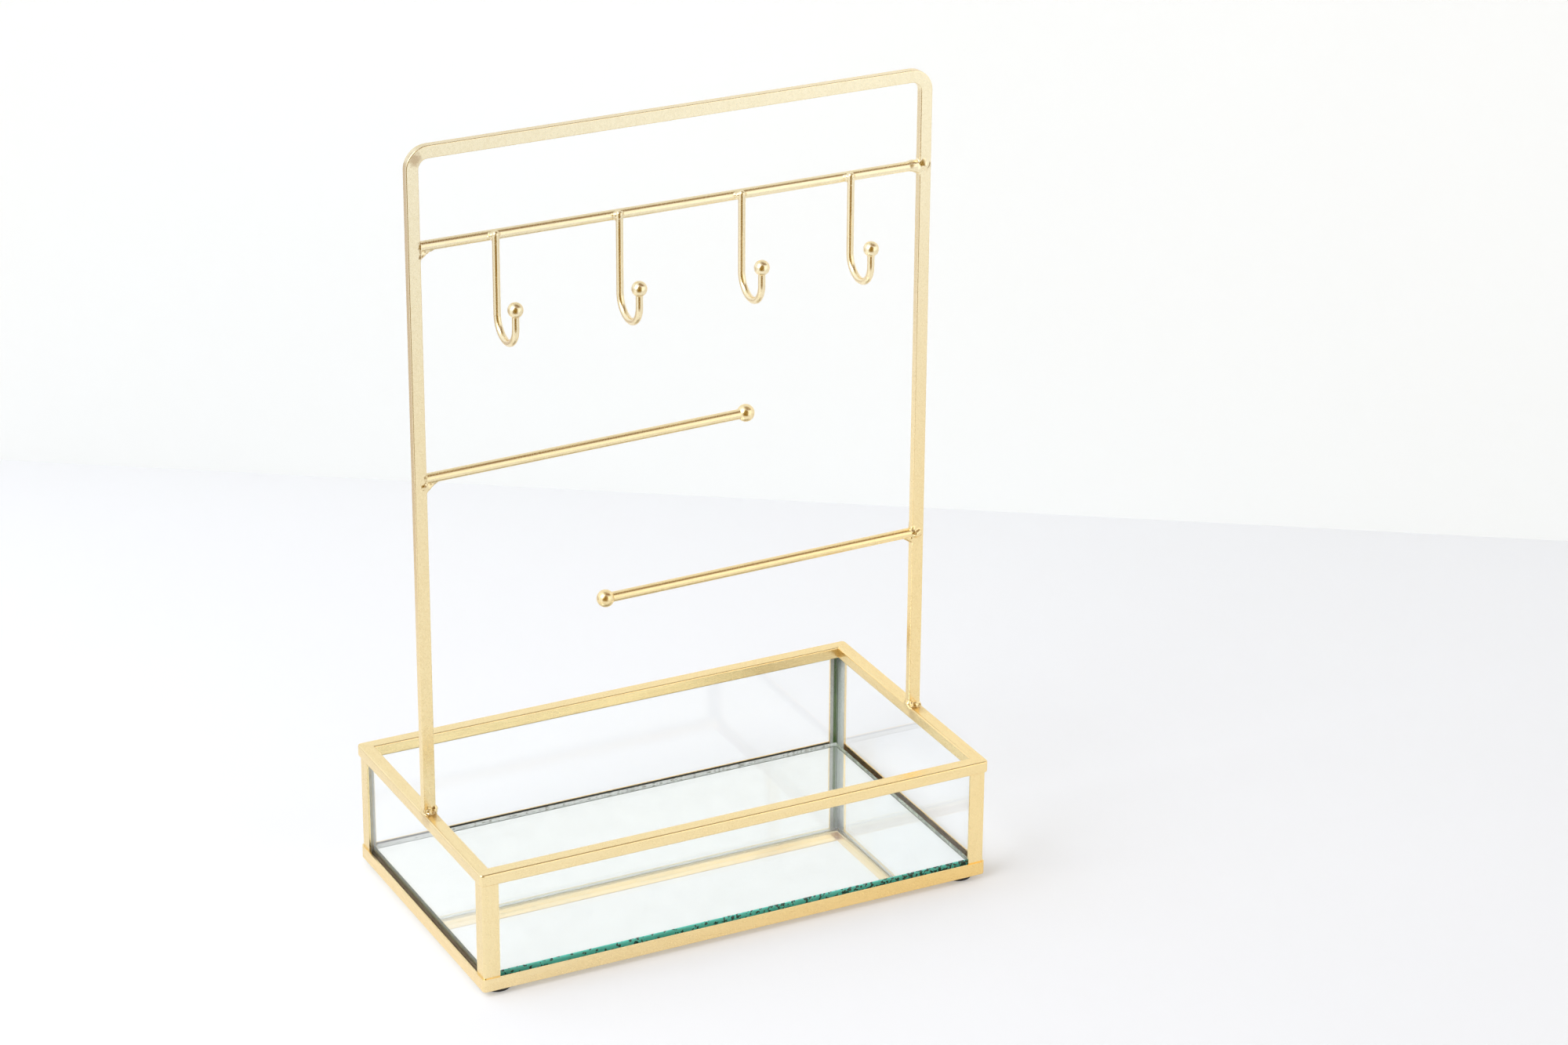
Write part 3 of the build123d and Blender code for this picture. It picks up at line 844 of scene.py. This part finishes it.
# %% Rail and arm beads
rail_radius = (rail_high.z - rail_low.z) / 2 / MM
rail_middle = (rail_low + rail_high) / 2
upper_low, upper_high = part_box("upper_arm_rod")
lower_low, lower_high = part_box("lower_arm_rod")
upper_lean = (upper_high.z - upper_low.z - 2 * rail_radius * MM) / (upper_high.x - upper_low.x)
lower_lean = -(lower_high.z - lower_low.z - 2 * rail_radius * MM) / (lower_high.x - lower_low.x)

rail_left_bead = rod_bead(
    (rail_low.x, rail_middle.y, rail_middle.z), -1, rail_radius,
    lean=0.0, fillet=2.4, stretch=(9.0, 3.6, 6.6),
    lumps=[((0.1, 0.5, -4.3), 1.2), ((1.4, 0.5, -3.4), 1.2), ((3.1, 0.4, -2.5), 1.1),
           ((5.2, 0.3, -1.9), 0.8)],
    pits=[((-0.1, 2.1, 2.3), 0.45), ((0.5, 2.0, 2.5), 0.4), ((0.7, 2.3, -4.0), 0.4),
          ((1.1, 2.3, -3.4), 0.35), ((-0.6, 2.4, -4.4), 0.4)],
    seed=3,
)
rail_right_bead = rod_bead(
    (rail_high.x, rail_middle.y, rail_middle.z), 1, rail_radius,
    lean=0.0, fillet=2.2, stretch=(8.0, 4.0, 5.4),
    lumps=[((-2.5, 0.5, 0.2), 2.7), ((2.7, 0.0, 0.0), 2.55), ((0.7, 0.6, -1.6), 1.9)],
    pits=[((-5.3, 2.3, 1.1), 0.45), ((-5.0, 2.6, 0.4), 0.45), ((-4.6, 2.8, -0.4), 0.45),
          ((-4.1, 2.9, -1.2), 0.4), ((0.2, 2.4, 2.1), 0.4)],
    seed=7,
)
make_piece(
    "rail_weld_beads", [rail_left_bead, rail_right_bead], [braze],
    replaced=("rail_welds",),
)
upper_bead = rod_bead(
    (upper_low.x, rail_middle.y, upper_low.z + rail_radius * MM), -1, rail_radius,
    lean=upper_lean, fillet=2.4, stretch=(8.0, 3.7, 6.8),
    lumps=[((0.1, 0.6, -4.7), 1.2), ((1.2, 0.6, -3.7), 1.2), ((2.6, 0.4, -2.8), 1.1),
           ((4.3, 0.3, -2.1), 0.8), ((-1.2, 1.3, -3.0), 1.0)],
    pits=[((-1.4, 2.7, -2.0), 0.5), ((-0.8, 2.7, -2.6), 0.45), ((-1.9, 2.5, -4.6), 0.5),
          ((0.6, 2.2, 2.2), 0.4)],
    seed=11,
)
lower_bead = rod_bead(
    (lower_high.x, rail_middle.y, lower_high.z - rail_radius * MM), 1, rail_radius,
    lean=lower_lean, fillet=2.2, stretch=(7.4, 4.0, 6.0),
    lumps=[((-1.8, 1.8, -0.2), 1.7), ((-3.7, 1.5, 0.2), 1.4), ((0.0, 0.6, -3.2), 1.2),
           ((1.2, 0.5, -2.6), 1.2), ((2.6, 0.4, -2.0), 0.9), ((-0.5, 1.3, 2.3), 1.1)],
    pits=[((-0.3, 3.0, 1.6), 0.55), ((0.3, 2.7, 1.9), 0.5), ((-4.2, 2.9, -1.3), 0.45),
          ((-3.6, 3.0, -1.7), 0.4)],
    seed=19,
)
make_piece(
    "arm_weld_beads", [upper_bead, lower_bead], [braze], replaced=("arm_welds",)
)

# %% [markdown]
# Beads on the hooks and under the hoop's feet.
# A hook's shaft lies against the rail and the braze fills the valley on both sides, so the same
# soft distance works with two round bars. At each foot the leg meets the flat rim, and the braze
# bulges inward, where the torch could reach.

# %% Hook beads
HOOK_COUNT = 4
HOOK_EARS = [((side * 1.7, 1.0, 0.9), 0.9) for side in (-1, 1)]
HOOK_BOUND = (3.6, 3.4, 3.9)
HOOK_SEED = 30
BAR_SHOWN = 9


def hook_bead(number):
    """Blend of the rail, the shaft with its domed top, and two small ears of braze."""
    wire_low, wire_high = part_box(f"hook_{number}")
    radius = (wire_high.x - wire_low.x) / 2 / MM
    shaft_y = wire_high.y - radius * MM
    origin = np.array([(wire_low.x + wire_high.x) / 2, shaft_y, rail_middle.z])
    rail_y = (rail_middle.y - shaft_y) / MM
    shaft_top = (wire_high.z - rail_middle.z) / MM - radius

    def distance(points):
        local = (points - origin) / MM
        rail_ends = (-BAR_SHOWN, rail_y, 0), (BAR_SHOWN, rail_y, 0)
        rail_bar = to_capsule(local, *rail_ends, rail_radius - UNDER_SKIN)
        shaft_ends = (0, 0, -BAR_SHOWN), (0, 0, shaft_top)
        shaft = to_capsule(local, *shaft_ends, radius - UNDER_SKIN)
        total = soft_least(rail_bar, shaft, blend=2.0)
        total = with_lumps(total, local, HOOK_EARS, blend=0.9)
        total = total - 0.1 * ripples(local, length=1.7, seed=HOOK_SEED + number)
        return kept_within(total, local, (0, 1.0, 0), HOOK_BOUND, blend=0.2)

    centre = origin + (0, 0.6 * MM, 0)
    points, faces = star_skin(centre, distance, reach=6 * MM, rows=60, columns=84)
    return points, faces, [0] * len(faces), np.zeros(len(points))


hook_beads = [hook_bead(number) for number in range(1, HOOK_COUNT + 1)]
make_piece("hook_weld_beads", hook_beads, [braze], replaced=("hook_welds",))

# %% Foot beads
FOOT_LUMPS = [((2.6, 0.9, 1.3), 1.5), ((2.2, -0.9, 0.9), 1.2), ((-0.6, 2.0, 0.6), 1.0)]
FOOT_PITS = [((1.6, 2.6, 2.2), 0.5)]
FOOT_BOUND = (4.6, 4.6, 4.4)
RIM_FLAT = (2.6, 30, 3)


def foot_bead(side, seed):
    """Blend of the leg and the rim's flat top, with lumps inward and in front."""
    leg_middle = side * (hoop_high.x - LEG_WIDTH * MM / 2)
    origin = np.array([leg_middle, (hoop_low.y + hoop_high.y) / 2, rim_top])

    def distance(points):
        local = joint_points(origin, side, points)
        leg = to_leg(local, (0, 0, BAR_SHOWN), BAR_SHOWN)
        top = to_block(local, (0, 0, -RIM_FLAT[2] - UNDER_SKIN), RIM_FLAT)
        total = with_lumps(soft_least(leg, top, blend=2.6), local, FOOT_LUMPS, blend=1.0)
        total = total - 0.12 * ripples(local, length=2.2, seed=seed)
        total = with_pits(total, local, FOOT_PITS)
        return kept_within(total, local, (0, 0, 0), FOOT_BOUND, blend=0.2)

    centre = origin + (0, 0, 0.2 * MM)
    points, faces = star_skin(centre, distance, reach=8 * MM, rows=80, columns=110)
    dark = pit_darkness(joint_points(origin, side, points), FOOT_PITS)
    return points, faces, [0] * len(faces), dark


foot_beads = [foot_bead(side, seed) for side, seed in ((-1, 41), (1, 47))]
make_piece("foot_weld_beads", foot_beads, [braze], replaced=("hoop_foot_welds",))

# %% [markdown]
# Glass.
# Float glass is clear through its faces and green through its cut edges, because light that leaves
# an edge has come a long way inside. So the panes are real bodies of glass, faintly green. Their
# edges are ground: rough, with a small arris, which an attribute on the mesh tells the material.
# Fingers and cleaning leave faint smears, which are small changes of roughness, and dust lies on
# every face as a thin white veil, thickest on the mirror.

# %% Clear glass
GLASS_IOR = 1.47
EDGE_TINT = rgba(0.50, 0.72, 0.62)
DUST = rgba(0.93, 1.0, 1.0)
SMEAR_SIZE = 22 * MM
WAVE_SIZE = 45 * MM
DUST_SIZE = 14 * MM
GROUND_ROUGHNESS = 0.4


def clear_glass(name, tint, dust):
    """Clear glass whose mark attribute is 1 on ground edges; dust is the share that is veiled."""
    material, tree, out, place = new_material(name)
    edge = put(tree, "Attribute", attribute_name="mark").outputs["Fac"]
    smears = eased(tree, noise(tree, place, SMEAR_SIZE, detail=4.0), 0.55, 0.8, 0.0, 0.03)
    roughness = maths(tree, "ADD", smears, maths(tree, "MULTIPLY", edge, GROUND_ROUGHNESS))
    waves = bumped(tree, noise(tree, place, WAVE_SIZE), strength=0.1, distance=0.1 * MM)
    clear = put(
        tree, "BsdfPrincipled",
        {"Base Color": mixed(tree, edge, tint, EDGE_TINT), "Roughness": roughness,
         "IOR": GLASS_IOR, "Transmission Weight": 1.0, "Normal": waves},
    ).outputs[0]
    veil = put(tree, "BsdfDiffuse", {"Color": DUST}).outputs[0]
    share = eased(tree, noise(tree, place, DUST_SIZE, detail=4.0), 0.3, 0.7, 0.8 * dust, dust)
    shown = put(tree, "MixShader", {0: share, 1: clear, 2: veil}).outputs[0]
    let_through = put(tree, "BsdfTransparent", {"Color": tint}).outputs[0]
    for_shadow = put(tree, "LightPath").outputs["Is Shadow Ray"]
    shown = put(tree, "MixShader", {0: for_shadow, 1: shown, 2: let_through}).outputs[0]
    fill(out, {"Surface": shown})
    return material


glass = clear_glass("float_glass", rgba(0.993, 1.0, 0.998), dust=0.01)

# %% Slabs with an arris
ACROSS, DEEP, UP = 0, 1, 2
OUTLINE_CORNERS = np.array([(1, 1), (-1, 1), (-1, -1), (1, -1)], float)
CORNER_CUTS = np.array([[(0, -1), (-1, 0)], [(1, 0), (0, -1)], [(0, 1), (1, 0)], [(-1, 0), (0, 1)]])


def slab_skin(low, high, thin_axis, arris):
    """A plate from low to high with its sharp edges taken off by arris.

    Four outlines with cut corners are stacked along the thin axis: drawn in, full, full, drawn in.
    """
    low, high = np.asarray(low, float), np.asarray(high, float)
    first, second = (thin_axis + 1) % 3, (thin_axis + 2) % 3
    half = (high - low) / 2
    rings = np.zeros((4, 8, 3))
    levels = half[thin_axis] * np.array([-1, -1, 1, 1]) + arris * np.array([0, 1, -1, 0])
    rings[..., thin_axis] = levels[:, None]
    for ring, inset in zip(rings, (arris, 0.0, 0.0, arris)):
        wide_tall = np.array([half[first], half[second]]) - inset
        outline = OUTLINE_CORNERS[:, None, :] * wide_tall + arris * CORNER_CUTS
        ring[:, [first, second]] = outline.reshape(-1, 2)
    end = np.arange(8)
    faces = [*ring_quads(0, 4, 8), end[::-1], end + 24]
    return rings.reshape(-1, 3) + (low + high) / 2, faces


def face_normals(points, faces):
    """Unit normal of each face, from its first three corners."""
    corners = np.array([points[face[:3]] for face in faces])
    normals = np.cross(corners[:, 1] - corners[:, 0], corners[:, 2] - corners[:, 1])
    return normals / np.linalg.norm(normals, axis=1)[:, None]


# %% Panes
ARRIS = 0.25 * MM
GLUE_THICKNESS = 0.15 * MM
FILM_PLAY = 0.02 * MM
PANES = {"front": (DEEP, -1), "back": (DEEP, 1), "left": (ACROSS, -1), "right": (ACROSS, 1)}
for side, (thin_axis, outward) in PANES.items():
    low, high = (np.array(corner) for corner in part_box(f"glass_{side}"))
    outer = high if outward > 0 else low
    outer[thin_axis] -= outward * GLUE_THICKNESS
    points, faces = slab_skin(low, high, thin_axis, ARRIS)
    flat = np.abs(face_normals(points, faces)[:, thin_axis]) > 0.9
    make_piece(
        f"pane_{side}", [(points, faces, [0] * len(faces), 1.0 - flat)], [glass],
        marks_on="FACE", replaced=(f"glass_{side}",),
    )

# %% [markdown]
# The mirror floor.
# It is a plate of thick glass, silvered underneath. A single shiny face would be simpler, but then
# its green cut edge, and the double line where the edge meets its own reflection, would be
# missing. So the plate is a body: clear above, silver below, and a chipped edge on four sides.
# Its sides are lit and shaded copies of one ground edge, in painted light and shade: a bright
# teal front, a pale back, an olive right side and a dark left side.
# The silver frays near the border, where damp has got under the backing paint.

# %% Silver and cut edges
SILVER_BRIGHT, SILVER_FRAYED = rgba(0.99, 1.0, 0.995), rgba(0.10, 0.11, 0.09)
SILVER_SPECK = rgba(0.6, 0.62, 0.6)
FRAY_SIZE = 3.0 * MM
FRAY_REACH = 1.6 * MM
BORDER_FROM, BORDER_FULL = 0.45 * MM, 0.30 * MM
SPECK_SIZE = 0.9 * MM
EDGE_ROUGHNESS = 0.45
EDGE_GLOSS = 0.15
CHIP_SIZE = 1.1 * MM
CHIP_DEPTH = 0.15 * MM
CHIPS_FROM, CHIPS_TO = -0.10, 0.12


def silver(half_width, half_depth):
    """Mirror backing that ends in a ragged dark border; the sizes are the plate's half sizes."""
    material, tree, out, place = new_material("mirror_silver")
    parts = put(tree, "SeparateXYZ", {0: place}).outputs
    from_end = maths(tree, "SUBTRACT", half_width, maths(tree, "ABSOLUTE", parts["X"]))
    from_side = maths(tree, "SUBTRACT", half_depth, maths(tree, "ABSOLUTE", parts["Y"]))
    inward = maths(tree, "MINIMUM", from_end, from_side)
    clouds = noise(tree, place, FRAY_SIZE, detail=5.0, roughness=0.65)
    frayed = maths(tree, "SUBTRACT", clouds, 0.5)
    inward = maths(tree, "ADD", inward, maths(tree, "MULTIPLY", frayed, FRAY_REACH))
    border = eased(tree, inward, BORDER_FROM, BORDER_FULL)
    specks = eased(tree, noise(tree, place, SPECK_SIZE, detail=1.0), 0.80, 0.84, 0.0, 0.5)
    colour = mixed(tree, border, SILVER_BRIGHT, SILVER_FRAYED)
    colour = mixed(tree, specks, colour, SILVER_SPECK)
    roughness = eased(tree, border, 0.0, 1.0, 0.0, 0.5)
    end_with(tree, out, {"Base Color": colour, "Roughness": roughness, "Metallic": 1.0})
    return material


def cut_edge(name, pale, deep, chip, amount):
    """Ground edge of thick glass: two clouded colours, and chips of a third, more to the right."""
    material, tree, out, place = new_material(name)
    across = put(tree, "SeparateXYZ", {0: place}).outputs["X"]
    share = eased(tree, across, CHIPS_FROM, CHIPS_TO, amount, 4 * amount)
    chipped = place_group(
        tree, CHIPPED_EDGE, {"Place": place, "Chip Size": CHIP_SIZE, "Amount": share}
    )
    colour = mixed(tree, chipped["Cloud"], deep, pale)
    colour = mixed(tree, chipped["Chips"], colour, chip)
    bump = bumped(tree, chipped["Chips"], strength=0.6, distance=CHIP_DEPTH)
    sockets = {"Base Color": colour, "Roughness": EDGE_ROUGHNESS, "Normal": bump}
    end_with(tree, out, {**sockets, "Specular IOR Level": EDGE_GLOSS})
    return material


# %% Mirror plate
PLATE_ARRIS = 0.35 * MM
plate_low, plate_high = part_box("mirror_plate")
plate_low.z += FILM_PLAY
plate_points, plate_faces = slab_skin(plate_low, plate_high, UP, PLATE_ARRIS)
# Painted light and shade: lit and shaded copies of one ground edge, one for each side of the plate.
LIT_AND_SHADED_EDGES = {
    "lit_teal": (rgba(0.15, 1.0, 0.85), rgba(0.12, 0.88, 0.72), rgba(0.02, 0.13, 0.10), 0.11),
    "pale": (rgba(0.96, 1.0, 0.98), rgba(0.86, 0.90, 0.88), rgba(0.40, 0.42, 0.36), 0.06),
    "olive": (rgba(0.50, 0.56, 0.42), rgba(0.26, 0.32, 0.18), rgba(0.08, 0.10, 0.05), 0.12),
    "dark": (rgba(0.03, 0.07, 0.03), rgba(0.01, 0.025, 0.012), rgba(0.10, 0.13, 0.04), 0.15),
}
PLATE_FINISH = {
    "top": clear_glass("dusty_mirror_glass", rgba(0.99, 1.0, 1.0), dust=0.14),
    "silver": silver(plate_high.x, plate_high.y),
    **{name: cut_edge("edge_" + name, *look) for name, look in LIT_AND_SHADED_EDGES.items()},
}
way_x, way_y, way_z = face_normals(plate_points, plate_faces).T
order = list(PLATE_FINISH)
plate_finish = np.select(
    [way_z > 0.9, way_z < -0.9, way_y < -0.4, way_z > 0.4, way_y > 0.4, way_x > 0],
    [order.index(name) for name in ("top", "silver", "lit_teal", "dark", "pale", "olive")],
    order.index("dark"),
)
make_piece(
    "mirror_floor",
    [(plate_points, plate_faces, plate_finish.tolist(), np.zeros(len(plate_faces)))],
    PLATE_FINISH.values(), marks_on="FACE", replaced=("mirror_plate",),
)

# %% [markdown]
# Glue behind the posts.
# The panes are stuck into the angle posts, and into the back rail, with glue. At the posts it shows
# through the glass from inside: at the right a mottled olive strip with a pale margin, and at the
# left pale. Colouring the posts would show outside too. So each is a thin film of its own, on the
# inner face of the metal and behind the pane. Along the back rail a nearly black film of the same
# kind paints the shade in the gap between the rail's lip and the pane.

# %% Glue films
def glue_and_shade_finish(name, deep, light):
    """Cured glue, and the black film of painted shade: mottled and half glossy."""
    material, tree, out, place = new_material(name)
    coat = coated(tree, place, (1, 1, 0.25), flake=1.0 * MM, run=3.0 * MM)
    colour = mixed(tree, coat["Shade"], deep, light)
    end_with(tree, out, {"Base Color": colour, "Roughness": 0.45})
    return material


OLIVE, PALE = 0, 1
glues = [
    glue_and_shade_finish("olive_glue", rgba(0.06, 0.16, 0.02), rgba(0.15, 0.28, 0.06)),
    glue_and_shade_finish("pale_glue", rgba(0.74, 0.78, 0.74), rgba(0.95, 0.98, 0.95)),
]
# The black film is painted shade, for the shaded gap behind the back pane.
painted_gap_shade = glue_and_shade_finish("painted_gap_shade", rgba(0.02, 0.018, 0.01), rgba(0.06, 0.052, 0.03))
FILM_MARGIN = 0.1 * MM
OLIVE_FROM = 1.8 * MM
FILM_ARRIS = 0.02 * MM
post_low, post_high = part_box("corner_post_back_right")
post_wall = post_high.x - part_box("glass_right")[1].x
film_width = post_high.x - post_low.x - post_wall - GLUE_THICKNESS


def glue_film(post, thin_axis, near, far, finish):
    """Film between a post's flange and a pane; near and far are taken from the free edge."""
    low, high = (np.array(corner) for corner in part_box(f"corner_post_{post}"))
    outward = np.sign(low + high)
    outer, free = np.where(outward > 0, high, low), np.where(outward > 0, low, high)
    width_axis = 1 - thin_axis
    ends = np.array([low, high])
    ends[:, width_axis] = free[width_axis] + outward[width_axis] * np.array([near, far])
    depths = post_wall + np.array([FILM_PLAY, GLUE_THICKNESS - FILM_PLAY])
    ends[:, thin_axis] = outer[thin_axis] - outward[thin_axis] * depths
    points, faces = slab_skin(ends.min(axis=0), ends.max(axis=0), thin_axis, FILM_ARRIS)
    return points, faces, [finish] * len(faces), np.zeros(len(faces))


for post in (f"{depth}_{side}" for depth in ("front", "back") for side in ("left", "right")):
    films = [glue_film(post, ACROSS, FILM_MARGIN, film_width, PALE)]
    if post.endswith("left"):
        films.append(glue_film(post, DEEP, FILM_MARGIN, film_width, PALE))
    else:
        films.append(glue_film(post, DEEP, FILM_MARGIN, OLIVE_FROM, PALE))
        films.append(glue_film(post, DEEP, OLIVE_FROM, film_width, OLIVE))
    make_piece(f"post_glue_{post}", films, glues, marks_on="FACE")

# %% Painted shade along the back rail
# Painted shade: a near black film fills the gap between the back rail's lip and the pane.
FILM_LIFT = 0.7 * MM
lip_face, shelf_top = post_high.y, post_low.z
lip_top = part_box("bottom_rail_back")[1].z
film_low = (-post_low.x, lip_face - GLUE_THICKNESS, shelf_top + FILM_LIFT)
film_high = (post_low.x, lip_face - FILM_PLAY, lip_top - FILM_MARGIN)
points, faces = slab_skin(film_low, film_high, DEEP, FILM_ARRIS)
make_piece(
    "rail_gap_shade_back", [(points, faces, [0] * len(faces), np.zeros(len(faces)))], [painted_gap_shade],
    marks_on="FACE",
)
